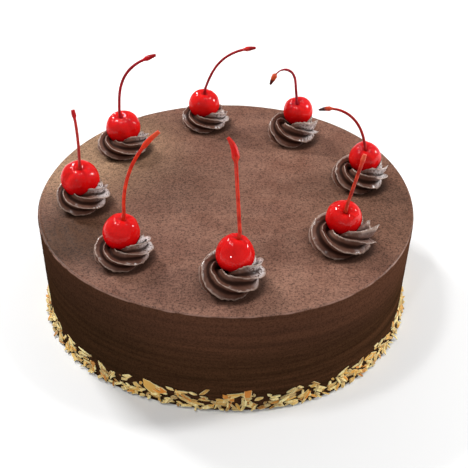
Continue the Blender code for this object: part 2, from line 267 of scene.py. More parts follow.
def mesh_object(name, points, quads, triangles, attributes=None, smooth=True):
    """A mesh object at the origin from whole arrays. Faces that look inwards are turned round together."""
    halves = np.concatenate([quads[:, [0, 1, 2]], quads[:, [0, 2, 3]], triangles])
    if signed_volume(points - points.mean(0), halves) < 0:
        quads, triangles = quads[:, ::-1], triangles[:, ::-1]
    mesh = bpy.data.meshes.new(name)
    mesh.vertices.add(len(points))
    mesh.vertices.foreach_set("co", points.astype(np.float32).ravel())
    corners = np.concatenate([quads.ravel(), triangles.ravel()]).astype(np.int32)
    sizes = np.concatenate([np.full(len(quads), 4), np.full(len(triangles), 3)])
    mesh.loops.add(len(corners))
    mesh.loops.foreach_set("vertex_index", corners)
    mesh.polygons.add(len(sizes))
    mesh.polygons.foreach_set("loop_start", (np.cumsum(sizes) - sizes).astype(np.int32))
    mesh.update(calc_edges=True)
    mesh.polygons.foreach_set("use_smooth", np.full(len(sizes), smooth))
    for key, values in (attributes or {}).items():
        layer = mesh.attributes.new(key, "FLOAT", "POINT")
        layer.data.foreach_set("value", values.astype(np.float32).ravel())
    piece = bpy.data.objects.new(name, mesh)
    bpy.context.scene.collection.objects.link(piece)
    return piece


def finish_piece(piece, material, node=None):
    """Gives the piece its material and slot, lets it ride on the only body, and puts it in its CAD node's
    place."""
    piece.data.materials.append(material)
    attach(piece, "root")
    if node is not None:
        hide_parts(node)
    print(piece.name, "faces:", len(piece.data.polygons))


print("faces of a grid of 3 by 8 points:", len(sheet_faces(3, 8)))

# %% [markdown]
# ## Tools for materials
#
# A material is a tree of shader nodes. The helpers below add one node each, set its values and link what
# they are given, so that a tree reads as a few lines. Colours are written as they look on screen, from 0 to
# 255, and are changed to the linear values that the shader works with.

# %% Material helpers
def screen_colour(red, green, blue):
    """Screen values from 0 to 255 as the linear colour of a shader socket."""
    share = np.array([red, green, blue]) / 255
    linear = np.where(share <= 0.04045, share / 12.92, ((share + 0.055) / 1.055) ** 2.4)
    return (*linear.tolist(), 1.0)


def is_socket(value):
    """True for a socket of a node, and false for a plain value."""
    return isinstance(value, bpy.types.NodeSocket)


def set_inputs(tree, node, **inputs):
    """Links each value that is a socket to the input of that name, and sets any other value on it. The
    names i0, i1 and so on stand for inputs by their number."""
    for key, value in inputs.items():
        name = key.replace("_", " ")
        numbered = name[0] == "i" and name[1:].isdigit()
        socket = node.inputs[int(name[1:]) if numbered else name]
        if is_socket(value):
            tree.links.new(value, socket)
        else:
            socket.default_value = value


def add_node(tree, kind, settings=None, **inputs):
    """Adds a shader node of this kind, with its settings and its inputs."""
    node = tree.nodes.new("ShaderNode" + kind)
    for key, value in (settings or {}).items():
        setattr(node, key, value)
    set_inputs(tree, node, **inputs)
    return node


def colour_mix(tree, share, first, second, blend="MIX"):
    """Blends two colours by a share. Each colour is a socket, or its three screen values."""
    # Inputs 6 and 7 of a Mix node are its two colours, and output 2 is the colour it gives
    first, second = (colour if is_socket(colour) else screen_colour(*colour) for colour in (first, second))
    mix = add_node(tree, "Mix", {"data_type": "RGBA", "blend_type": blend}, i0=share, i6=first, i7=second)
    return mix.outputs[2]


def rescale(tree, value, low, high, new_low=0.0, new_high=1.0):
    """Maps the range low to high onto the new range, smoothly and without passing its ends."""
    ranges = {"From_Min": low, "From_Max": high, "To_Min": new_low, "To_Max": new_high}
    node = add_node(tree, "MapRange", {"interpolation_type": "SMOOTHSTEP"}, Value=value, **ranges)
    return node.outputs["Result"]


def calculate(tree, operation, *values):
    """One step of arithmetic on sockets and numbers."""
    inputs = {f"i{number}": value for number, value in enumerate(values)}
    return add_node(tree, "Math", {"operation": operation}, **inputs).outputs[0]


def noise(tree, place, scale, detail, roughness=0.5, **more):
    """Smooth random values from 0 to 1, about so many to a metre, with finer layers added on top."""
    node = add_node(tree, "TexNoise", Vector=place, Scale=scale, Detail=detail, Roughness=roughness, **more)
    return node.outputs[0]


def bump(tree, height, distance, strength, **more):
    """The normal of the surface raised by distance where the height is 1, at this strength."""
    return add_node(tree, "Bump", Height=height, Distance=distance, Strength=strength, **more).outputs[0]


def point_value(tree, name):
    """The number that the mesh holds under this name at each of its points."""
    return add_node(tree, "Attribute", {"attribute_name": name}).outputs["Fac"]


def object_place(tree):
    """Where a point of the surface is, in metres."""
    return add_node(tree, "TexCoord").outputs["Object"]


def new_material(name):
    """A material with its tree, its Principled shader and the place that its patterns read."""
    material = bpy.data.materials.new(name)
    material.use_nodes = True
    tree = material.node_tree
    return material, tree, tree.nodes["Principled BSDF"], object_place(tree)


print("screen grey 128 as a linear value:", round(screen_colour(128, 128, 128)[0], 3))

# %% [markdown]
# ## Grain of icing
#
# Smoothed buttercream is never glassy. It holds fine grains of sugar and cocoa, and pits where air bubbles
# broke. The body and the rosettes share this, so it is one node group. It takes the place of a point and
# the number of grains to a metre. It gives a height, for the bump and the fine specks, and a slow mottle
# for the colour.

# %% Icing grain group
BROAD_SHARE = 0.06
PIT_WIDTH = 0.35
PIT_DEPTH = 0.35


def make_grain_group():
    """Height = fine noise, less up to PIT_DEPTH near the middle of each bubble. Mottle = noise BROAD_SHARE
    as fine."""
    group = bpy.data.node_groups.new("icing_grain", "ShaderNodeTree")
    for name, in_out, kind in (
        ("Place", "INPUT", "NodeSocketVector"),
        ("Grains", "INPUT", "NodeSocketFloat"),
        ("Height", "OUTPUT", "NodeSocketFloat"),
        ("Mottle", "OUTPUT", "NodeSocketFloat"),
    ):
        group.interface.new_socket(name, in_out=in_out, socket_type=kind)
    entry = group.nodes.new("NodeGroupInput")
    leave = group.nodes.new("NodeGroupOutput")
    place, grains = entry.outputs["Place"], entry.outputs["Grains"]
    fine = noise(group, place, grains, 3.0, 0.65)
    broad = noise(group, place, calculate(group, "MULTIPLY", grains, BROAD_SHARE), 4.0, 0.55)
    bubbles = add_node(group, "TexVoronoi", {"feature": "F1"}, Vector=place, Scale=grains)
    pit = rescale(group, bubbles.outputs["Distance"], 0.0, PIT_WIDTH, -PIT_DEPTH, 0.0)
    set_inputs(group, leave, Height=calculate(group, "ADD", fine, pit), Mottle=broad)
    return group


grain_group = make_grain_group()


def add_grain(tree, place, grains):
    """Puts the shared grain group in a tree and returns it, for its Height and Mottle outputs."""
    return add_node(tree, "Group", {"node_tree": grain_group}, Place=place, Grains=grains)


print("group:", grain_group.name)

# %% [markdown]
# ## The iced body
#
# The cake is a turned shape: a flat top, a crisp rim and an upright wall, with a low bank of icing at the
# foot. It could be a Screw modifier, but hand work shows in its surface, so here the outline is carried
# round as a grid, and each point is then moved a little. The top has arcs left by a palette knife. The wall
# has level streaks from a scraper. The rim has the thin ridge where the two meet. The body is a little out
# of round too, by the same three and four lobes as the solid.

# %% Iced body
CAKE_RADIUS = 115 * MM
CAKE_HEIGHT = 68.25 * MM
RIM_ROUND = 1.2 * MM
LOBES = ((0.0072, 3, -41 * DEG), (0.0059, 4, 36.5 * DEG))
BANK_OUT = 2.0 * MM
BANK_HEIGHT = 9 * MM
BODY_COLUMNS = 512
TOP_ROWS, RIM_ROWS, WALL_ROWS, BASE_ROWS = 96, 7, 72, 4
KNIFE_DEPTH = 0.13 * MM
KNIFE_ARC = 30 * MM
KNIFE_STEP = 4.5 * MM
STREAK_DEPTH = 0.10 * MM
STREAK_STEP = 1.6 * MM
WAVE_DEPTH = 0.22 * MM
WAVE_STEP = 16 * MM
LIP_HEIGHT = 0.14 * MM
LIP_INWARD = 1.3 * MM
LIP_WIDTH = 0.6 * MM
RIM_EDGE_WIDTH = 0.22 * MM


def roundness(angle):
    """The cake's radius in this direction as a share of CAKE_RADIUS: 1 plus a cosine wave for each set of
    lobes."""
    return 1 + sum(share * np.cos(count * (angle - first)) for share, count, first in LOBES)


def wall_radius(height):
    """The round cake's radius at this height, bank included, before the lobes."""
    return CAKE_RADIUS + BANK_OUT * np.maximum(0.0, 1 - height / BANK_HEIGHT) ** 1.5


def body_outline():
    """Radius and height along the outline, from the middle of the top to the middle of the base: out over
    the top in steps that get finer, a quarter circle at the rim, evenly down the wall and back in under the
    base."""
    out = CAKE_RADIUS - RIM_ROUND
    reach = 1 - 0.99 * np.linspace(1, 0, TOP_ROWS) ** 1.5
    top = np.stack([reach * out, np.full(TOP_ROWS, CAKE_HEIGHT)], -1)
    turn = np.linspace(0, math.pi / 2, RIM_ROWS + 1)[1:]
    rim = np.stack([out + RIM_ROUND * np.sin(turn), CAKE_HEIGHT - RIM_ROUND * (1 - np.cos(turn))], -1)
    heights = np.linspace(CAKE_HEIGHT - RIM_ROUND, 0, WALL_ROWS + 1)[1:]
    wall = np.stack([wall_radius(heights), heights], -1)
    base = np.stack([np.linspace(0.95, 0.05, BASE_ROWS) * CAKE_RADIUS, np.zeros(BASE_ROWS)], -1)
    return np.concatenate([top, rim, wall, base])


def make_body():
    """The outline carried round. Reach = radius x roundness + streaks and slow waves on the wall. Height =
    outline + knife arcs and the lip on the top. Both come from noise that changes fast along the outline and
    slowly round it, and the value "rim" is a bell round the edge, for the pale line along it."""
    outline = body_outline()
    radius, height = (np.repeat(outline[:, side, None], BODY_COLUMNS, 1) for side in (0, 1))
    around = np.repeat(once_round(BODY_COLUMNS)[None], len(outline), 0)
    across = np.stack([np.cos(around), np.sin(around)], -1)
    on_wall = smoothstep((CAKE_HEIGHT - height) / RIM_ROUND)
    off_base = smoothstep(height / (1.5 * MM))
    inward = CAKE_RADIUS - radius

    def spread(times, third):
        """Noise points whose first two numbers follow the direction and whose third follows the outline."""
        return np.concatenate([across * times, third[..., None]], -1)

    swirl = spread(1.2 + radius[..., None] / KNIFE_ARC, radius / KNIFE_STEP)
    knife = KNIFE_DEPTH * rough_noise(swirl, 3)
    lip = LIP_HEIGHT * bell(inward - LIP_INWARD, LIP_WIDTH) * (1 + 0.9 * lattice_noise(swirl * 2.3, 9))
    streak = STREAK_DEPTH * rough_noise(spread(2.6, height / STREAK_STEP), 21, 2)
    wave = WAVE_DEPTH * rough_noise(spread(2.2, height / WAVE_STEP) + 7, 33, 2)
    lift = (knife + lip) * (1 - on_wall) * smoothstep(radius / (4 * MM))
    push = (streak + wave) * on_wall * off_base
    reach = radius * roundness(around) + push
    points = np.stack([reach * across[..., 0], reach * across[..., 1], height + lift], -1)
    rim = bell(np.hypot(inward, CAKE_HEIGHT - height) - RIM_ROUND * 0.4, RIM_EDGE_WIDTH)
    rim = rim * (0.6 + 0.7 * lattice_noise(spread(24, 0 * around), 12))
    whole, quads, triangles = closed_grid(points)
    return mesh_object("iced_body", whole, quads, triangles, {"rim": np.concatenate([rim.ravel(), [0, 0]])})


iced_body = make_body()
print("iced body, points:", len(iced_body.data.vertices))

# %% [markdown]
# Chocolate icing dries unevenly. The top is milk-brown where the knife smoothed it, with soft strokes across
# it and fine specks. In places it is darker or paler: a painted shadow in front of the left rosette, painted
# shade towards the right, a painted sheen at the back left, and a darker and a paler place besides. The wall
# below is darker, partly its own brown and partly painted shade, with level streaks, and painted shade deepens
# it on its left. The edge of the rim is palest. Each of these is one colour mixed in by its own share, so that
# one can be changed without the others.

# %% Icing colour
TonePlace = namedtuple("TonePlace", "middle near far share tone")


def tone_place(x, y, z, near, far, share, tone):
    """A round place of another tone, full within near of its middle and gone at far. Only z is in metres,
    and the other lengths are in mm."""
    return TonePlace((x * MM, y * MM, z), near * MM, far * MM, share, tone)


SHADE_SHEEN_AND_TONE_PLACES = (
    # Painted shadow in front of the left rosette
    tone_place(-88, -48, CAKE_HEIGHT, 10, 42, 0.9, (76, 51, 35)),
    # Painted shade towards the right
    tone_place(106, -14, CAKE_HEIGHT, 20, 86, 0.55, (98, 70, 54)),
    # Painted sheen at the back left, where the window light grazes the top
    tone_place(-96, 48, CAKE_HEIGHT, 22, 82, 0.9, (172, 138, 110)),
    # Darker
    tone_place(-38, 12, CAKE_HEIGHT, 12, 58, 0.55, (96, 70, 58)),
    # Paler
    tone_place(36, -98, CAKE_HEIGHT, 8, 44, 0.2, (168, 130, 112)),
)
WALL_SHADE = tone_place(-95, -65, 36 * MM, 35, 105, 0.45, (34, 24, 13))
BODY_GRAINS = 900.0


def toned(tree, place, colour, spot):
    """The colour moved towards the spot's tone, most of all near its middle and not at all far from it."""
    away = add_node(tree, "VectorMath", {"operation": "DISTANCE"}, i0=place, i1=spot.middle)
    share = rescale(tree, away.outputs["Value"], spot.near, spot.far, spot.share, 0.0)
    return colour_mix(tree, share, colour, spot.tone)


def wall_colour(tree, place, height, streaks):
    """Two dark browns in level streaks, partly painted shade, redder towards the rim, with painted shade on
    the left.
    """
    # The wall's dark browns are partly its own colour and partly painted shade
    wall = colour_mix(tree, rescale(tree, streaks, 0.3, 0.7), (51, 34, 21), (78, 51, 34))
    wall = colour_mix(tree, rescale(tree, height, 25 * MM, 62 * MM, 0.0, 0.4), wall, (104, 68, 54))
    return toned(tree, place, wall, WALL_SHADE)


def top_colour(tree, place, mottle):
    """Two milk-browns by the mottle, soft strokes of the knife over them, then the places of other tones: a
    painted shadow, painted shade, a painted sheen, and a darker and a paler place."""
    top = colour_mix(tree, rescale(tree, mottle, 0.32, 0.68), (124, 87, 73), (140, 103, 88))
    swept = add_node(tree, "Mapping", Vector=place, Scale=(14.0, 52.0, 1.0), Rotation=(0.0, 0.0, 14 * DEG))
    strokes = noise(tree, swept.outputs[0], 1.0, 4.0, Distortion=0.9)
    top = colour_mix(tree, rescale(tree, strokes, 0.44, 0.62, 0.0, 0.4), top, (116, 83, 72))
    for spot in SHADE_SHEEN_AND_TONE_PLACES:
        top = toned(tree, place, top, spot)
    return top


def icing_material():
    """Top or wall by height, with specks laid over, a painted contact shadow round the rosettes and pale along
    the rim."""
    material, tree, shader, place = new_material("chocolate_icing")
    grain = add_grain(tree, place, BODY_GRAINS)
    height = add_node(tree, "SeparateXYZ", Vector=place).outputs["Z"]
    upper = rescale(tree, height, CAKE_HEIGHT - 0.6 * MM, CAKE_HEIGHT - 0.1 * MM)
    stretch = add_node(tree, "Mapping", Vector=place, Scale=(9.0, 9.0, 240.0))
    streaks = noise(tree, stretch.outputs[0], 1.0, 4.0, 0.6)
    wall = wall_colour(tree, place, height, streaks)
    top = top_colour(tree, place, grain.outputs["Mottle"])
    colour = colour_mix(tree, upper, wall, top)
    grainy = rescale(tree, grain.outputs["Height"], 0.2, 0.65)
    specks = colour_mix(tree, grainy, (62, 58, 56), (196, 194, 190))
    colour = colour_mix(tree, rescale(tree, upper, 0.0, 1.0, 0.5, 0.85), colour, specks, "OVERLAY")
    # Painted contact shadow round each rosette, darkest on its side away from the window light
    contact_shadow = rescale(tree, point_value(tree, "contact_shadow"), 0.0, 1.0, 0.0, 0.8)
    colour = colour_mix(tree, contact_shadow, colour, (46, 28, 20))
    rim = rescale(tree, point_value(tree, "rim"), 0.1, 0.9, 0.0, 0.7)
    streak_normal = bump(tree, streaks, 0.35 * MM, 0.5)
    set_inputs(
        tree,
        shader,
        Base_Color=colour_mix(tree, rim, colour, (158, 122, 108)),
        Roughness=rescale(tree, grain.outputs["Mottle"], 0.3, 0.7, 0.46, 0.6),
        Specular_IOR_Level=0.0,
        Coat_Weight=rescale(tree, upper, 0.0, 1.0, 0.0, 0.35),
        Coat_Roughness=0.42,
        Normal=bump(tree, grain.outputs["Height"], 0.3 * MM, 0.75, Normal=streak_normal),
    )
    return material


finish_piece(iced_body, icing_material(), "cake")

# %% [markdown]
# ## Almond slivers
#
# A baker presses handfuls of toasted almond slivers round the foot while the icing is soft. The larger ones
# are in the solid too, so the first draw repeats its rule and its seed. A second draw adds the small broken
# ones, and a third the broad flakes. Two more flakes at the front stand out in the photograph, and are listed
# one by one. One sliver is a short bent blade with blunt, slanting ends and only a few dozen faces. All of
# them are one mesh, made in one go, with a tone of its own on each sliver for the toasting.

# %% Sliver frames
SliverRow = namedtuple("SliverRow", "height lean count proud")
SliverKind = namedtuple("SliverKind", "seed rows length mode width thick tilt")
LARGE = SliverKind(
    17,
    (
        SliverRow(2.6 * MM, 34 * DEG, 66, 0),
        SliverRow(5.6 * MM, 22 * DEG, 56, 0),
        SliverRow(8.8 * MM, 10 * DEG, 40, 0),
    ),
    (6.5 * MM, 11 * MM),
    8.0 * MM,
    (2.4 * MM, 3.6 * MM),
    (1.1 * MM, 1.7 * MM),
    22 * DEG,
)
SMALL = SliverKind(
    5,
    (
        SliverRow(0.6 * MM, 66 * DEG, 150, 0.9 * MM),
        SliverRow(2.0 * MM, 44 * DEG, 110, 0.4 * MM),
        SliverRow(3.8 * MM, 30 * DEG, 105, 0),
        SliverRow(6.4 * MM, 22 * DEG, 90, 0),
        SliverRow(8.8 * MM, 12 * DEG, 56, 0),
        SliverRow(10.8 * MM, 6 * DEG, 16, 0),
    ),
    (2.4 * MM, 6.8 * MM),
    4.0 * MM,
    (0.9 * MM, 2.2 * MM),
    (0.5 * MM, 1.1 * MM),
    42 * DEG,
)
FLAKES = SliverKind(
    23,
    (SliverRow(7.4 * MM, 12 * DEG, 17, 0),),
    (6.5 * MM, 9.0 * MM),
    7.5 * MM,
    (3.4 * MM, 4.6 * MM),
    (0.6 * MM, 0.9 * MM),
    30 * DEG,
)
LoneFlake = namedtuple("LoneFlake", "angle height lean tilt size")  # as laid_on_wall takes them
LONE_FLAKES = (
    LoneFlake(-83 * DEG, 11.4 * MM, 14 * DEG, 84 * DEG, (9.0 * MM, 4.6 * MM, 0.9 * MM)),
    LoneFlake(-111 * DEG, 8.2 * MM, 16 * DEG, -24 * DEG, (13.0 * MM, 6.2 * MM, 1.0 * MM)),
)
SLIVER_EMBED = 0.45 * MM
SLIVER_CLEARANCE = 0.4 * MM
UPRIGHT_SHARE = 0.08
ANGLE_JITTER = 0.35
LEAN_JITTER = 0.15
HEIGHT_JITTER = 1.0


def laid_on_wall(angle, height, lean, tilt, size, proud):
    """The matrix that lays a sliver of this size on the wall in this direction, sunk into it by
    SLIVER_EMBED and kept clear of the floor."""
    length, width, thick = size
    reach = (length * abs(math.sin(tilt)) + width * abs(math.cos(tilt))) / 2
    low = reach * math.cos(lean) + thick / 2
    height = max(height, low + SLIVER_CLEARANCE)
    out = float(wall_radius(height) * roundness(angle)) + proud
    out += (thick / 2 - SLIVER_EMBED) * math.cos(lean)
    return (
        Matrix.Rotation(angle, 4, "Z")
        @ Matrix.Translation((out, 0, height))
        @ Matrix.Rotation(math.pi / 2 - lean, 4, "Y")
        @ Matrix.Rotation(math.pi / 2 + tilt, 4, "Z")
    )


def sliver_frames(kind):
    """Each sliver's size and the matrix that lays it on the wall, long side along X and flat face to Z. The
    rows run evenly round the cake, and each sliver is drawn a little off its place."""
    draw = random.Random(kind.seed)
    sizes, places = [], []
    for row in kind.rows:
        for index in range(row.count):
            angle = math.tau * (index + draw.uniform(-ANGLE_JITTER, ANGLE_JITTER)) / row.count
            length = draw.triangular(*kind.length, kind.mode)
            width = draw.uniform(*kind.width)
            thick = draw.uniform(*kind.thick)
            tilt = draw.gauss(0, kind.tilt)
            if draw.random() < UPRIGHT_SHARE:
                tilt = draw.uniform(65, 90) * DEG
                length = kind.length[0]
            lean = row.lean + draw.uniform(-LEAN_JITTER, LEAN_JITTER)
            height = row.height + draw.uniform(-HEIGHT_JITTER, HEIGHT_JITTER) * MM
            size = (length, width, thick)
            sizes.append(size)
            places.append(laid_on_wall(angle, height, lean, tilt, size, row.proud))
    return np.array(sizes), np.array(places)


sliver_counts = [sum(row.count for row in kind.rows) for kind in (LARGE, SMALL, FLAKES)]
print("slivers in the three draws:", sliver_counts)

# %% [markdown]
# The large slivers of the solid are broad, while a knife leaves thin ones that stick together in twos. So
# each large one becomes two thin blades side by side, a little askew, inside the same form.

# %% Thin blades from broad slivers
BLADE_ASKEW = 7 * DEG
BLADE_ASIDE = 0.27
BLADE_SHARES = ((0.55, 0.95), (0.38, 0.56), (0.6, 1))


def split_lengthwise(sizes, places, draw):
    """Two copies of every sliver, each about half as wide, moved sideways, turned by a few degrees in their
    own plane and cut to random shares of the length and the thickness."""
    count = 2 * len(sizes)
    side = np.repeat([-1.0, 1.0], len(sizes))
    whole = np.tile(sizes, (2, 1))
    askew = draw.normal(0, BLADE_ASKEW, count)
    local = np.tile(np.eye(4), (count, 1, 1))
    local[:, 0, 0], local[:, 0, 1] = np.cos(askew), -np.sin(askew)
    local[:, 1, 0], local[:, 1, 1] = np.sin(askew), np.cos(askew)
    local[:, 0, 3] = draw.uniform(-0.1, 0.1, count) * whole[:, 0]
    local[:, 1, 3] = side * whole[:, 1] * BLADE_ASIDE
    local[:, 2, 3] = draw.uniform(-0.35, 0.1, count) * MM
    cut = np.stack([draw.uniform(*share, count) for share in BLADE_SHARES], -1)
    return whole * cut, np.tile(places, (2, 1, 1)) @ local


print("blades from the large slivers:", 2 * sum(row.count for row in LARGE.rows))

# %% Almond slivers
BLADE_ALONG = np.array([-1, -0.8, -0.3, 0.3, 0.8, 1])
BLADE_SIDES = 8
BLADE_EDGE = 0.3
BLADE_SLANT = 0.22
BLADE_BOW = 0.10
BLADE_TWIST = 0.5
BLADE_LUMP = 1.3 * MM
SLIVER_SEED = 8
LUMP_SEED = 40
FLAKE_TOAST = (0.5, 1.0)


def blades(sizes, draw):
    """All slivers at once, (count, rows, sides, 3): a bevelled rectangle carried along the length, narrowed by
    its own share at either end, sheared there by a slant, bowed in its plane, raised in the middle and rolled
    along it. Also how much painted shade each point takes, most at the back and some at the ends, and whether
    it lies on a cut edge."""
    count = len(sizes)
    near, far = draw.uniform(0.25, 0.95, (2, count, 1))
    most = np.array([BLADE_SLANT, BLADE_BOW, BLADE_TWIST])[:, None, None, None]
    slant, bow, twist = draw.uniform(-1, 1, (3, count, 1, 1)) * most
    bend = draw.uniform(-0.3, 0.6, (count, 1, 1)) * MM
    along = BLADE_ALONG[None, :, None]
    width = 1 - (1 - near) * np.maximum(-BLADE_ALONG, 0) ** 2.5
    width = width - (1 - far) * np.maximum(BLADE_ALONG, 0) ** 2.5
    width = width * (1 + draw.uniform(-0.14, 0.14, (count, len(BLADE_ALONG))))
    turn = (np.arange(BLADE_SIDES) + 0.5) / BLADE_SIDES * math.tau
    side = np.sign(np.cos(turn)) * np.abs(np.cos(turn)) ** BLADE_EDGE
    face = np.sign(np.sin(turn)) * np.abs(np.sin(turn)) ** BLADE_EDGE
    length, broad, deep = (sizes[:, axis, None, None] / 2 for axis in range(3))
    x = length * (along + slant * side * np.abs(along) ** 3)
    flat = broad * width[..., None] * side
    thick = deep * (1 - 0.45 * along**4) * face
    y = flat * np.cos(twist * along) - thick * np.sin(twist * along) + bow * length * (1 - along**2)
    z = flat * np.sin(twist * along) + thick * np.cos(twist * along) + bend * (1 - along**2)
    # Painted shade: darker on the back face, towards the wall, and at the ends
    dark = np.broadcast_to((face < 0) * 0.7 + (np.abs(along) == 1) * 0.3, x.shape)
    cut = np.broadcast_to((np.abs(np.cos(turn)) > 0.7) * 1.0, x.shape)
    return np.stack(np.broadcast_arrays(x, y, z), -1), dark, cut


def all_slivers(draw):
    """The sizes and the places of the large slivers' blades, the small slivers, the flakes and the lone
    flakes."""
    lone_sizes = np.array([lone.size for lone in LONE_FLAKES])
    lone_places = np.array([laid_on_wall(*lone, 0) for lone in LONE_FLAKES])
    large = split_lengthwise(*sliver_frames(LARGE), draw)
    kinds = (large, sliver_frames(SMALL), sliver_frames(FLAKES), (lone_sizes, lone_places))
    return (np.concatenate(part) for part in zip(*kinds))


def make_slivers():
    """World place = each sliver's matrix times its blade, whose thickness is changed by slow noise, clipped
    to the box of the solids. Each sliver has a toast and a tone of its own, and is closed by a fan at
    either end."""
    draw = np.random.default_rng(SLIVER_SEED)
    sizes, places = all_slivers(draw)
    count = len(sizes)
    local, dark, cut = blades(sizes, draw)
    apart = np.arange(count)[:, None, None, None] * 3.7
    local[..., 2] *= 1 + 0.3 * lattice_noise(local / BLADE_LUMP + apart, LUMP_SEED)
    world = np.einsum("nij,nabj->nabi", places[:, :3, :3], local) + places[:, None, None, :3, 3]
    low, high = np.array(cad_box)
    low[2] = SLIVER_CLEARANCE / 2
    world = np.clip(world, low, high)
    ends = np.stack([world[:, 0].mean(1), world[:, -1].mean(1)], 1)
    ring = len(BLADE_ALONG) * BLADE_SIDES
    points = np.concatenate([world.reshape(count, ring, 3), ends], 1).reshape(-1, 3)
    first = fan_faces(np.arange(BLADE_SIDES), ring, False)
    last = fan_faces(np.arange(BLADE_SIDES) + ring - BLADE_SIDES, ring + 1, True)
    starts = np.arange(count)[:, None, None] * (ring + 2)
    quads = (sheet_faces(len(BLADE_ALONG), BLADE_SIDES)[None] + starts).reshape(-1, 4)
    triangles = (np.concatenate([first, last])[None] + starts).reshape(-1, 3)
    toast = draw.beta(1.3, 2.4, count)
    flakes = sum(row.count for row in FLAKES.rows) + len(LONE_FLAKES)
    toast[-flakes:] = draw.uniform(*FLAKE_TOAST, flakes)
    tone = draw.uniform(0, 1, count)
    attributes = {
        "toast": np.repeat(toast, ring + 2),
        "tone": np.repeat(tone, ring + 2),
        # Painted shade, also on the end caps
        "dark": np.concatenate([dark.reshape(count, ring), np.full((count, 2), 0.8)], 1),
        "cut": np.concatenate([cut.reshape(count, ring), np.full((count, 2), 1.0)], 1),
    }
    return mesh_object("almond_slivers", points, quads, triangles, attributes, smooth=False)


def almond_material():
    """Cream nut, tan or orange where it toasted, duller by its own tone, pale on its cut edges and with
    painted shade behind, with fine fibres."""
    material, tree, shader, place = new_material("toasted_almond")
    toast, tone, dark, cut = (point_value(tree, name) for name in ("toast", "tone", "dark", "cut"))
    blotch = rescale(tree, noise(tree, place, 520.0, 4.0, 0.65), 0.35, 0.65)
    colour = colour_mix(tree, blotch, (255, 240, 176), (226, 188, 110))
    colour = colour_mix(tree, rescale(tree, toast, 0.15, 0.55), colour, (216, 166, 76))
    colour = colour_mix(tree, rescale(tree, toast, 0.5, 0.9), colour, (226, 138, 40))
    colour = colour_mix(tree, rescale(tree, tone, 0.0, 0.7, 0.6, 0.0), colour, (124, 80, 40))
    colour = colour_mix(tree, rescale(tree, cut, 0.3, 0.9, 0.0, 0.85), colour, (255, 244, 184))
    # Painted shade behind and at the ends
    colour = colour_mix(tree, rescale(tree, dark, 0.25, 0.8, 0.0, 0.9), colour, (72, 42, 20))
    set_inputs(
        tree,
        shader,
        Base_Color=colour,
        Roughness=0.5,
        Specular_IOR_Level=0.35,
        Subsurface_Weight=0.06,
        Subsurface_Radius=(1.0, 0.7, 0.4),
        Subsurface_Scale=0.5 * MM,
        Normal=bump(tree, noise(tree, place, 1500.0, 2.0, 0.6), 0.15 * MM, 0.6),
    )
    return material


finish_piece(make_slivers(), almond_material())

# %% [markdown]
# ## Places on the top
#
# Eight sets stand round the top, and no two are quite alike. Each has its direction and distance from the
# middle, the size of its rosette, the cherry's place and the way its dimple looks, and the bend of its stem.
# The solids were made from the same values. Where a rosette stands on the icing, a painted shadow runs round
# it, darkest on the side away from the window light. It is a number on each point of the iced body, and the
# icing's material reads it.

# %% Places on the top
def rows_of(kind, units, table):
    """One named row for each row of plain numbers, each number times its column's unit."""
    return tuple(kind(*(value * unit for value, unit in zip(row, units))) for row in table)


Place = namedtuple("Place", "angle ring radius tail tall")
PLACES = rows_of(
    Place,
    (DEG, MM, MM, DEG, 1),
    (
        (-87.8, 85.8, 17.6, 4, 1.28),
        (-36.9, 82.0, 18.7, -6, 1.12),
        (10.0, 84.3, 17.1, -4, 1.22),
        (58.0, 81.7, 16.8, -8, 1.35),
        (100.9, 88.8, 17.0, -8, 1.0),
        (144.2, 86.6, 17.9, 6, 1.0),
        (-171.1, 88.1, 16.5, 0, 1.2),
        (-131.2, 86.3, 16.6, 8, 1.05),
    ),
)
Cherry = namedtuple("Cherry", "radius rise shift back lean roll")
CHERRIES = rows_of(
    Cherry,
    (MM, MM, MM, MM, DEG, DEG),
    (
        (10.2, 17.6, 2.0, 2.2, -6, 11),
        (10.1, 16.0, 0.5, 1.8, 34, -1),
        (10.0, 17.1, 2.5, 1.4, 24, -8),
        (9.9, 19.1, 3.4, 2.6, 28, -10),
        (10.4, 14.8, -1.0, 0.7, 10, 3),
        (11.2, 15.1, 0.4, 1.6, 12, -7),
        (11.0, 17.1, -0.8, 1.2, 18, 8),
        (10.4, 15.5, -0.1, 1.8, 2, 10),
    ),
)
Stem = namedtuple("Stem", "length lean first last middle spread")
STEMS = rows_of(
    Stem,
    (MM, DEG, DEG, DEG, 1, 1),
    (
        (55.0, 30, -4, -81, 1.00, 0.27),
        (36.5, 12, -11, 14, 0.06, 0.20),
        (47.0, 8, -14, -130, 0.72, 0.67),
        (42.5, 20, -6, -154, 0.63, 0.29),
        (53.0, 8, 21, 83, 0.58, 0.45),
        (53.0, 20, 2, 69, 0.57, 0.39),
        (36.5, 12, 0, -16, 0.92, 0.70),
        (54.5, 28, -11, 68, 0.63, 0.90),
    ),
)


def icing_point(place):
    """Where the rosette's axis meets the icing."""
    return np.array([math.cos(place.angle) * place.ring, math.sin(place.angle) * place.ring, CAKE_HEIGHT])


def cherry_middle(place, cherry):
    """The point on the rosette's axis, moved right, back and up."""
    return icing_point(place) + np.array([cherry.shift, cherry.back, cherry.rise])


def cherry_axis(cherry):
    """The direction that the cherry's dimple looks in: up, leant to the front and rolled to the right."""
    flat = math.cos(cherry.lean)
    return np.array([math.sin(cherry.roll) * flat, -math.sin(cherry.lean), math.cos(cherry.roll) * flat])


print("sets on the top:", len(PLACES))

# %% Painted shadows round the rosettes
SHADOW_EDGE = 0.97
SHADOW_WIDTH = 2.4 * MM
SHADOW_LEAST = 0.35
SHADOW_SIDE = -60 * DEG


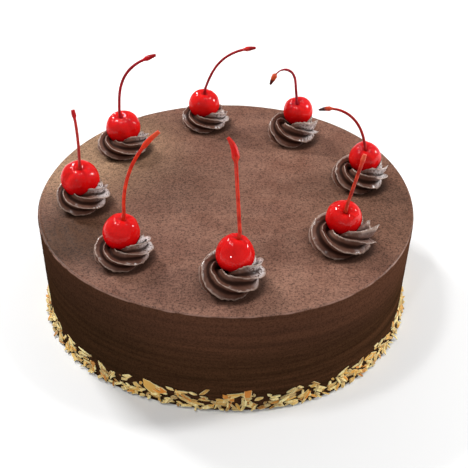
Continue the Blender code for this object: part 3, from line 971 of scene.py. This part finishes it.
def paint_contact_shadows(body):
    """Painted contact shadow = bell(distance past the rosette's edge) x (the least share + the rest x how far
    it faces the shadow's side), the greatest over all rosettes, and only on the top."""
    spots = np.empty(3 * len(body.data.vertices), np.float32)
    body.data.vertices.foreach_get("co", spots)
    spots = spots.reshape(-1, 3)
    contact_shadow = np.zeros(len(spots))
    for place in PLACES:
        away = spots - icing_point(place)
        past = np.maximum(np.hypot(away[:, 0], away[:, 1]) - SHADOW_EDGE * place.radius, 0)
        facing = np.maximum(np.cos(np.arctan2(away[:, 1], away[:, 0]) - SHADOW_SIDE), 0)
        strength = SHADOW_LEAST + (1 - SHADOW_LEAST) * facing
        contact_shadow = np.maximum(contact_shadow, bell(past, SHADOW_WIDTH) * strength)
    contact_shadow = contact_shadow * (spots[:, 2] > CAKE_HEIGHT - RIM_ROUND)
    layer = body.data.attributes.new("contact_shadow", "FLOAT", "POINT")
    layer.data.foreach_set("value", contact_shadow.astype(np.float32))
    return contact_shadow


print("points of the icing in a crease:", int((paint_contact_shadows(iced_body) > 0.1).sum()))

# %% [markdown]
# ## Piped rosettes
#
# A closed star nozzle squeezes out a rope with sharp ridges and hollow grooves. The baker swirls it once
# round, anticlockwise, lets it climb on its own start, and pulls away to the right. The end of the rope
# curls back round the cherry. On some sets it is blunt, and on others its ridges are drawn out into tips.
# The rope is a star outline carried along that path. Its ridges turn slowly outwards as it goes, because
# the hand turns too. Where the rope meets the cake it is flat, and where it meets the cherry it is pressed
# in.

# %% Rosettes
ROPE = 0.40
ROPE_PATH = 0.60
ROPE_LIFT = 0.25
ROPE_RIDGES = 6
ROPE_GROOVE = 0.34
ROPE_TWIST = 1.0
ROPE_PHASE = 30 * DEG
ROPE_START = -15 * DEG
ROPE_TURN = 318 * DEG
TAIL_LENGTH = 0.52
TAIL_RISE = 0.06
TAIL_CORE = 0.42
TAIL_STRETCH = 0.42
TAIL_CLIMB = 0.13
BLUNT_FROM = 0.92
# The last field is how strong the painted glint on the rope's end is
RopeEnd = namedtuple("RopeEnd", "curl tips blunt silver")
ROPE_ENDS = rows_of(
    RopeEnd,
    (DEG, 1, 1, 1),
    (
        (72, 0.06, 0.98, 1.0),
        (8, 0.20, 0.3, 0.2),
        (30, 0.14, 0.6, 0.8),
        (20, 0.16, 0.5, 0.75),
        (42, 0.08, 0.9, 0.75),
        (62, 0.05, 0.96, 0.6),
        (70, 0.06, 0.97, 1.0),
        (80, 0.05, 0.98, 1.0),
    ),
)
ROPE_ROWS = 260
ROPE_SIDES = 120
SEAT_GAP = 0.15 * MM
ROPE_SINK = 0.3 * MM
GROOVE_SHARPNESS = 0.7
RIDGE_WAVER = 0.17
RIDGE_SWELL = 0.07
RIDGE_RAGGED = 0.06


def rope_path(run, curl):
    """The rope's middle line for each length run, in rosette radii, by adding short steps along its
    heading: round a circle, then off in a tail whose heading turns on by the curl, ever faster, while it
    rises onto the rope's own start. Also the rope's thickness as a share of the full one."""
    arc = ROPE_TURN * ROPE_PATH
    whole = run[-1]
    share = run / whole
    tail_share = np.maximum(run - arc, 0) / (whole - arc)
    heading = ROPE_START + np.minimum(run, arc) / ROPE_PATH + math.pi / 2 + curl * tail_share**2
    steps = np.stack([np.cos(heading), np.sin(heading)], -1) * (run[1] - run[0])
    start = ROPE_PATH * np.array([math.cos(ROPE_START), math.sin(ROPE_START)])
    level = start + np.concatenate([np.zeros((1, 2)), np.cumsum((steps[1:] + steps[:-1]) / 2, 0)])
    x, y = level[:, 0], level[:, 1]
    z = ROPE_LIFT + (TAIL_RISE + TAIL_CLIMB * curl) * smoothstep((share - 0.62) / 0.38)
    thickness = 0.55 + 0.45 * smoothstep(share / 0.14) - 0.22 * smoothstep((share - 0.84) / 0.16)
    return np.stack([x, y, z], -1), thickness


def star_reach(run, share, thickness, turn, end, seed):
    """The rope's radius at each point = thickness x (1 - depth x groove) x swell, rounded off towards a
    blunt end. The groove is |sin| of three times the angle, to the power GROOVE_SHARPNESS, so there are six.
    The swell is noise along the rope. Also how near each side is to a ridge, and how far its angle
    wavers."""
    groove = np.abs(np.sin(ROPE_RIDGES / 2 * turn)) ** GROOVE_SHARPNESS
    crest = 1 - groove
    waver = (run[:, None] * 4.5, np.cos(turn)[None] * 1.6, np.sin(turn)[None] * 1.6)
    waver = np.stack(np.broadcast_arrays(*waver), -1)
    swell = 1 + RIDGE_SWELL * rough_noise(waver, seed)
    swell = swell + RIDGE_RAGGED * crest * lattice_noise(waver * 4.1, seed + 5)
    depth = ROPE_GROOVE + TAIL_CORE * smoothstep((share - 0.82) / 0.18)
    reach = ROPE * thickness[:, None] * (1 - depth * groove) * swell
    reach = reach * np.sqrt(1 - (end.blunt * np.maximum(share - BLUNT_FROM, 0) / (1 - BLUNT_FROM)) ** 2)
    return reach, crest, RIDGE_WAVER * rough_noise(waver * 0.7 + 9, seed + 7)


def pull_tips(points, forward, spun, turn, share, crest, end, seed):
    """Draws each ridge of the last stretch out along the rope by a length of its own, and up if it is on
    top."""
    draw = np.random.default_rng(seed)
    ridge_of = np.round(turn / (math.tau / ROPE_RIDGES)).astype(int) % ROPE_RIDGES
    tip = draw.uniform(0, end.tips, ROPE_RIDGES)[ridge_of] + end.tips / 2 * np.maximum(np.sin(spun[-1]), 0)
    pulled = smoothstep((share - 0.88) / 0.12) * crest**1.5
    points = points + forward[:, None] * (tip * pulled)[..., None]
    raised = 0.4 * tip + end.tips * np.maximum(np.cos(spun[-1]), 0)
    return points + np.array([0, 0, 1.0]) * (raised * pulled**2)[..., None]


def make_rosette(number, place, cherry, end):
    """The star section carried along the rope's path and spun as it goes, its ridges pulled out at the end.
    Then it is turned, sized and set on the cake, held up by the icing and pushed out of the cherry's
    seat."""
    whole = ROPE_TURN * ROPE_PATH + TAIL_LENGTH * (1 + TAIL_STRETCH * end.curl)
    run = np.linspace(0, whole, ROPE_ROWS)
    share = (run / whole)[:, None]
    middle, thickness = rope_path(run, end.curl)
    forward = unit(np.gradient(middle, axis=0))
    outward = unit(np.cross(forward, [0, 0, 1.0]))
    upward = np.cross(outward, forward)
    turn = once_round(ROPE_SIDES)
    seed = 100 + number * 10
    reach, crest, unevenness = star_reach(run, share, thickness, turn, end, seed)
    spun = ROPE_PHASE + turn[None] + (ROPE_TWIST * run / ROPE_PATH)[:, None] + unevenness
    section = outward[:, None] * np.sin(spun)[..., None] + upward[:, None] * np.cos(spun)[..., None]
    points = middle[:, None] + section * reach[..., None]
    points = pull_tips(points, forward, spun, turn, share, crest, end, seed)
    turned = np.array(Matrix.Rotation(place.tail, 3, "Z"))
    points = points @ turned.T * place.radius * np.array([1, 1, place.tall]) + icing_point(place)
    points[..., 2] = np.maximum(points[..., 2], CAKE_HEIGHT - ROPE_SINK)
    away = points - cherry_middle(place, cherry)
    distance = np.linalg.norm(away, axis=-1, keepdims=True)
    seat = cherry.radius + SEAT_GAP
    points = np.where(distance < seat, cherry_middle(place, cherry) + away / distance * seat, points)
    whole_points, quads, triangles = closed_grid(points)
    ridge = np.concatenate([np.repeat(crest[None], ROPE_ROWS, 0).ravel(), [0.3, 0.3]])
    # The stretched end of the rope, times the strength of its painted glint
    stretched_and_glint = np.repeat(end.silver * smoothstep((share - 0.78) / 0.20), ROPE_SIDES, 1)
    attributes = {"ridge": ridge, "stretched_and_glint": np.concatenate([stretched_and_glint.ravel(), [0, end.silver]])}
    return mesh_object(f"rosette_{number}_piping", whole_points, quads, triangles, attributes)


print("shares of a rosette's radius, rope and path:", ROPE, ROPE_PATH)

# %% [markdown]
# The nozzle polishes the icing, so the rope is darker and glossier than the top. Its grooves are painted
# nearly black, which is painted shade, and its ridges carry thin pale lips, which are painted highlights. The
# end of the rope, where it was stretched, carries a painted glint in pale silvery patches.

# %% Piping colour
PIPING_GRAINS = 1300.0


def piping_material():
    """Two browns by the mottle, a painted glint in patches on the stretched end, painted shade in the grooves
    and a painted highlight on the lips.
    """
    material, tree, shader, place = new_material("piped_icing")
    grain = add_grain(tree, place, PIPING_GRAINS)
    ridge, stretched_and_glint = point_value(tree, "ridge"), point_value(tree, "stretched_and_glint")
    mottle = rescale(tree, grain.outputs["Mottle"], 0.3, 0.7)
    # Painted glint, broken into pale patches
    glint_patches = rescale(tree, noise(tree, place, 760.0, 2.0, 0.6), 0.36, 0.5)
    silver = colour_mix(tree, glint_patches, (92, 78, 72), (230, 219, 217))
    colour = colour_mix(tree, mottle, (86, 55, 44), (112, 78, 65))
    colour = colour_mix(tree, rescale(tree, stretched_and_glint, 0.0, 1.0, 0.0, 0.9), colour, silver)
    # Painted shade: the grooves nearly black
    colour = colour_mix(tree, rescale(tree, ridge, 0.0, 0.34, 0.92, 0.0), colour, (34, 16, 10))
    crinkle = noise(tree, place, 420.0, 2.0, 0.6)
    # lip: the crinkled ridges; it places the painted highlight and sets the gloss
    lip = calculate(tree, "MULTIPLY_ADD", crinkle, 0.5, ridge)
    sheen = calculate(tree, "MULTIPLY_ADD", stretched_and_glint, 0.6, lip)
    crumple = calculate(tree, "MULTIPLY", crinkle, stretched_and_glint)
    grain_normal = bump(tree, grain.outputs["Height"], 0.12 * MM, 0.5)
    set_inputs(
        tree,
        shader,
        # Painted highlight: the ridges' lips pale
        Base_Color=colour_mix(tree, rescale(tree, lip, 0.85, 1.2, 0.0, 0.85), colour, (178, 152, 138)),
        Roughness=rescale(tree, lip, 0.2, 0.9, 0.6, 0.34),
        Specular_IOR_Level=0.04,
        Coat_Weight=rescale(tree, sheen, 0.4, 1.1, 0.0, 0.8),
        Coat_Roughness=0.25,
        Normal=bump(tree, crumple, 1.6 * MM, 0.8, Normal=grain_normal),
    )
    return material


piping = piping_material()
for number, (place, cherry, end) in enumerate(zip(PLACES, CHERRIES, ROPE_ENDS), 1):
    finish_piece(make_rosette(number, place, cherry, end), piping, f"rosette_{number}")

# %% [markdown]
# ## Cherries
#
# A cocktail cherry is a stoned, dyed and candied fruit. Its skin is smooth and wet, drawn into a dimple
# where the stem grows, with faint puckers round it and a shallow seam down one side. No two are the same
# shape: some are taller, egg-like or broad. Each starts as a sphere given by its angle from the dimple and
# its angle round the axis, and the radius changes with both.

# %% Cherries
CHERRY_ROWS, CHERRY_COLUMNS = 72, 96
DIMPLE_DEPTH = 0.20
DIMPLE_WIDTH = 0.33
FLESH = 0.985
LUMP, FINE_LUMP = 0.030, 0.007
SEAM_WIDTH = 0.14
PUCKER_DEPTH = 0.012
PUCKERS = 9
CherryForm = namedtuple("CherryForm", "wide egg tall seam seam_at")
CHERRY_FORMS = rows_of(
    CherryForm,
    (1, 1, 1, 1, DEG),
    (
        (1.03, 0.06, 0.11, 0.04, 60),
        (1.02, 0.05, 0.10, 0.05, -150),
        (1.00, 0.03, 0.05, 0.05, -40),
        (1.02, 0.03, 0.05, 0.04, 100),
        (1.04, -0.02, 0.0, 0.05, -100),
        (1.02, -0.02, 0.0, 0.07, -50),
        (1.06, 0.09, -0.05, 0.12, -140),
        (1.00, 0.05, 0.02, 0.04, 20),
    ),
)


def axis_turn(cherry):
    """The rotation that takes +Z to the cherry's axis by the shortest way."""
    return np.array(Vector((0, 0, 1)).rotation_difference(Vector(cherry_axis(cherry))).to_matrix())


def make_cherry(number, place, cherry, form):
    """Radius = FLESH less a bell round the dimple, less a seam, plus low lumps and fine puckers near the
    dimple. Then the ball is widened across its axis, narrowed towards the dimple where it is egg-shaped,
    and its upper half is drawn out along the axis."""
    polar = np.linspace(0, math.pi, CHERRY_ROWS + 2)[1:-1, None]
    around = once_round(CHERRY_COLUMNS)[None]
    sphere = np.stack(
        [np.sin(polar) * np.cos(around), np.sin(polar) * np.sin(around), np.cos(polar) + 0 * around], -1
    )
    seed = 300 + number * 7
    lumps = LUMP * lattice_noise(sphere * 1.5 + 20, seed)
    lumps = lumps + FINE_LUMP * lattice_noise(sphere * 4 + 20, seed + 1)
    seam = form.seam * bell(np.sin((around - form.seam_at) / 2), SEAM_WIDTH)
    seam = seam * np.sin(polar) * bell(polar - 0.9, 0.9)
    waver = 2 * lattice_noise(sphere * 2 + 40, seed + 2)
    pucker = PUCKER_DEPTH * np.sin(around * PUCKERS + waver) * bell(polar - 0.5, 0.22)
    radius = FLESH - DIMPLE_DEPTH * bell(polar, DIMPLE_WIDTH) - seam + lumps + pucker
    points = sphere * radius[..., None] * cherry.radius
    points[..., :2] *= (form.wide * (1 - form.egg * np.cos(polar)))[..., None]
    points[..., 2] *= 1 + form.tall * smoothstep(np.cos(polar))
    points = points @ axis_turn(cherry).T + cherry_middle(place, cherry)
    whole, quads, triangles = closed_grid(points)
    # Masks for the painted shade in the dimple and low down; "low" also thins the glaze
    depth = np.repeat(bell(polar, 0.3), CHERRY_COLUMNS, 1).ravel()
    low = smoothstep(0.5 - (whole[:, 2] - cherry_middle(place, cherry)[2]) / (1.6 * cherry.radius))
    attributes = {"dimple": np.concatenate([depth, [1, 0]]), "low": low}
    return mesh_object(f"cherry_{number}_fruit", whole, quads, triangles, attributes)


print("cherries' radii, mm:", [round(cherry.radius / MM, 1) for cherry in CHERRIES])

# %% [markdown]
# The skin is a clear red, with painted shade deeper low down and in the dimple. A smooth coat over it gives
# the wet glints, thin where the fruit faces the icing, and the flesh spreads a little light under the skin.

# %% Cherry colour
def cherry_material():
    """Two reds in slow blotches, with painted shade deeper low down and in the dimple, under a glaze that is
    thinner low down."""
    material, tree, shader, place = new_material("candied_cherry")
    low, dimple = point_value(tree, "low"), point_value(tree, "dimple")
    blush = rescale(tree, noise(tree, place, 90.0, 2.0), 0.35, 0.65)
    colour = colour_mix(tree, blush, (204, 12, 12), (220, 24, 22))
    # Painted shade low down
    colour = colour_mix(tree, rescale(tree, low, 0.35, 0.9, 0.0, 0.9), colour, (186, 0, 8))
    # Painted shade in the dimple
    colour = colour_mix(tree, rescale(tree, dimple, 0.3, 1.0, 0.0, 0.75), colour, (150, 8, 12))
    set_inputs(
        tree,
        shader,
        Base_Color=colour,
        Roughness=rescale(tree, noise(tree, place, 500.0, 2.0), 0.3, 0.7, 0.10, 0.2),
        Specular_IOR_Level=0.0,
        Coat_Weight=rescale(tree, low, 0.15, 0.6, 0.55, 0.08),
        Coat_Roughness=0.02,
        Subsurface_Weight=0.25,
        Subsurface_Radius=(1.0, 0.12, 0.10),
        Subsurface_Scale=2.5 * MM,
        Normal=bump(tree, noise(tree, place, 200.0, 1.0, 0.4), 0.3 * MM, 0.3),
    )
    return material


fruit = cherry_material()
for number, (place, cherry, form) in enumerate(zip(PLACES, CHERRIES, CHERRY_FORMS), 1):
    finish_piece(make_cherry(number, place, cherry, form), fruit, f"cherry_{number}")

# %% [markdown]
# ## Stems
#
# The stems took up the dye with the fruit. Each rises from the dimple along the cherry's own axis, bends
# over in one plane, and ends in the swollen knob where it grew on the twig. A stem is a circle carried
# along that middle line. Its radius follows the foot, the slender shank, the neck and the knob, with a few
# faint ridges along it. Each stem has a form of its own: some are thick, some thin at the neck, and their
# knobs are long, round or blunt.

# %% Stems
STEM_RADIUS = 0.95 * MM
STEM_ROWS, STEM_SIDES = 90, 20
STEM_STEPS = 11
STEM_UPRIGHT = 0.16
STEM_SINK = 0.4 * MM
KNOB_RISE = 0.05
FOOT_SHARE, FOOT_MORE = 0.15, 0.15
NECK_BEFORE = 0.2
STEM_ROUGH = 0.07
STEM_RIDGES, STEM_RIDGE = 5, 0.04
StemForm = namedtuple("StemForm", "shank neck start knob fall")
STEM_FORMS = (
    StemForm(1.08, 0.0, 0.75, 1.25, 1.50),
    StemForm(1.0, 0.0, 0.85, 0.40, 0.30),
    StemForm(0.9, 0.1, 0.82, 0.70, 1.10),
    StemForm(0.9, 0.4, 0.80, 1.10, 1.40),
    StemForm(0.9, 0.0, 0.84, 0.85, 0.95),
    StemForm(0.96, 0.0, 0.84, 0.85, 0.90),
    StemForm(0.92, 0.0, 0.86, 0.55, 0.35),
    StemForm(1.0, 0.0, 0.76, 0.55, 0.45),
)


def stem_line(cherry, stem):
    """The middle line from its foot, by adding short steps: along the cherry's axis at first, then turning
    from the first tilt to the last in a plane that leans to the back. Smooth points are read from a cubic
    through them."""
    share = (np.arange(STEM_STEPS) + 0.5) / STEM_STEPS
    bent = smoothstep((share - stem.middle + stem.spread) / (2 * stem.spread))
    tilt = stem.first + (stem.last - stem.first) * bent
    upright = np.array([0, math.sin(stem.lean), math.cos(stem.lean)])
    heading = np.cos(tilt)[:, None] * upright + np.sin(tilt)[:, None] * np.array([1.0, 0, 0])
    free = smoothstep(share / STEM_UPRIGHT)[:, None]
    heading = unit(cherry_axis(cherry) * (1 - free) + heading * free)
    knots = np.concatenate([np.zeros((1, 3)), np.cumsum(heading * stem.length / STEM_STEPS, 0)])
    return catmull_rom(knots, STEM_ROWS)


def catmull_rom(knots, count):
    """A smooth line through the knots: each stretch is a cubic with the slope of its neighbours at either
    end."""
    slopes = np.gradient(knots, axis=0)
    at = np.linspace(0, len(knots) - 1, count)
    cell = np.minimum(at.astype(int), len(knots) - 2)
    part = (at - cell)[:, None]
    start, end = knots[cell], knots[cell + 1]
    out, into = slopes[cell], slopes[cell + 1]
    return (
        start * (2 * part**3 - 3 * part**2 + 1)
        + out * (part**3 - 2 * part**2 + part)
        + end * (3 * part**2 - 2 * part**3)
        + into * (part**3 - part**2)
    )


def stem_thickness(share, form):
    """The shank's width, more at the foot and less at the neck, and the knob: a quick rise, then a fall
    with the square of the way along it."""
    foot = FOOT_MORE * (1 - smoothstep(share / FOOT_SHARE))
    neck = form.neck * smoothstep((share - form.start + NECK_BEFORE) / 0.17)
    neck = neck * (1 - smoothstep((share - form.start) / 0.04))
    knob = form.knob * smoothstep((share - form.start) / KNOB_RISE)
    fall = form.fall * (np.maximum(share - form.start, 0) / (1 - form.start)) ** 2
    return form.shank + foot - neck + knob - fall


def make_stem(number, place, cherry, stem, form):
    """A circle carried along the middle line. Radius = STEM_RADIUS x thickness x (1 + noise) x (1 + faint
    ridges)."""
    sunk = cherry.radius * (1 - DIMPLE_DEPTH) - STEM_SINK
    line = stem_line(cherry, stem) + (cherry_middle(place, cherry) + cherry_axis(cherry) * sunk)
    forward = unit(np.gradient(line, axis=0))
    across = unit(np.cross(forward, [0, 1.0, 0.15]))
    other = np.cross(forward, across)
    share = np.linspace(0, 1, STEM_ROWS)
    turn = once_round(STEM_SIDES)
    bumps = np.stack(np.broadcast_arrays(share[:, None] * 14, np.cos(turn)[None], np.sin(turn)[None]), -1)
    rough = 1 + STEM_ROUGH * rough_noise(bumps + 30, 500 + number * 3, 2)
    radius = STEM_RADIUS * stem_thickness(share, form)[:, None] * rough
    radius = radius * (1 + STEM_RIDGE * np.sin(turn * STEM_RIDGES + 3 * share[:, None]))
    ring = across[:, None] * np.cos(turn)[None, :, None] + other[:, None] * np.sin(turn)[None, :, None]
    whole, quads, triangles = closed_grid(line[:, None] + ring * radius[..., None])
    along = np.concatenate([np.repeat(share[:, None], STEM_SIDES, 1).ravel(), [0, 1]])
    return mesh_object(f"stem_{number}_shank", whole, quads, triangles, {"along": along})


print("stems' lengths, mm:", [round(stem.length / MM, 1) for stem in STEMS])

# %% [markdown]
# No stem took the dye like another. Each has four tones of its own: a dark and a light one in fine streaks
# along the shank, then one for the knob and one for its end, which is nearly black on some.

# %% Stem colours
STEM_LOOKS = (
    # dark and light tones of the shank, then the tones of its knob and its end
    ((168, 28, 16), (212, 56, 36), (204, 20, 16), (196, 40, 30)),
    ((150, 26, 14), (200, 62, 38), (206, 56, 36), (214, 84, 56)),
    ((150, 18, 22), (184, 40, 30), (196, 72, 46), (58, 16, 18)),
    ((138, 14, 26), (168, 28, 40), (206, 80, 40), (84, 20, 16)),
    ((146, 18, 26), (176, 32, 38), (206, 46, 42), (150, 28, 32)),
    ((138, 12, 24), (172, 22, 34), (192, 12, 24), (156, 16, 22)),
    ((156, 30, 28), (190, 54, 46), (190, 26, 30), (176, 22, 28)),
    ((176, 26, 12), (220, 52, 20), (212, 52, 24), (208, 72, 42)),
)


def stem_material(number, look):
    """Dyed red, between a dark and a light tone in fine streaks, then the tones of its knob and its end."""
    material, tree, shader, place = new_material(f"dyed_stem_{number}")
    dark, light, knob, end = look
    along = point_value(tree, "along")
    streak = noise(tree, place, 260.0, 3.0, 0.6)
    colour = colour_mix(tree, rescale(tree, streak, 0.3, 0.7), dark, light)
    colour = colour_mix(tree, rescale(tree, along, 0.76, 0.86), colour, knob)
    colour = colour_mix(tree, rescale(tree, along, 0.89, 0.94), colour, end)
    set_inputs(
        tree,
        shader,
        Base_Color=colour,
        Roughness=rescale(tree, streak, 0.3, 0.7, 0.3, 0.5),
        Specular_IOR_Level=0.1,
        Coat_Weight=0.12,
        Coat_Roughness=0.15,
        Normal=bump(tree, streak, 0.2 * MM, 0.5),
    )
    return material


sets = zip(PLACES, CHERRIES, STEMS, STEM_FORMS, STEM_LOOKS)
for number, (place, cherry, stem, form, look) in enumerate(sets, 1):
    piece = make_stem(number, place, cherry, stem, form)
    finish_piece(piece, stem_material(number, look), f"stem_{number}")
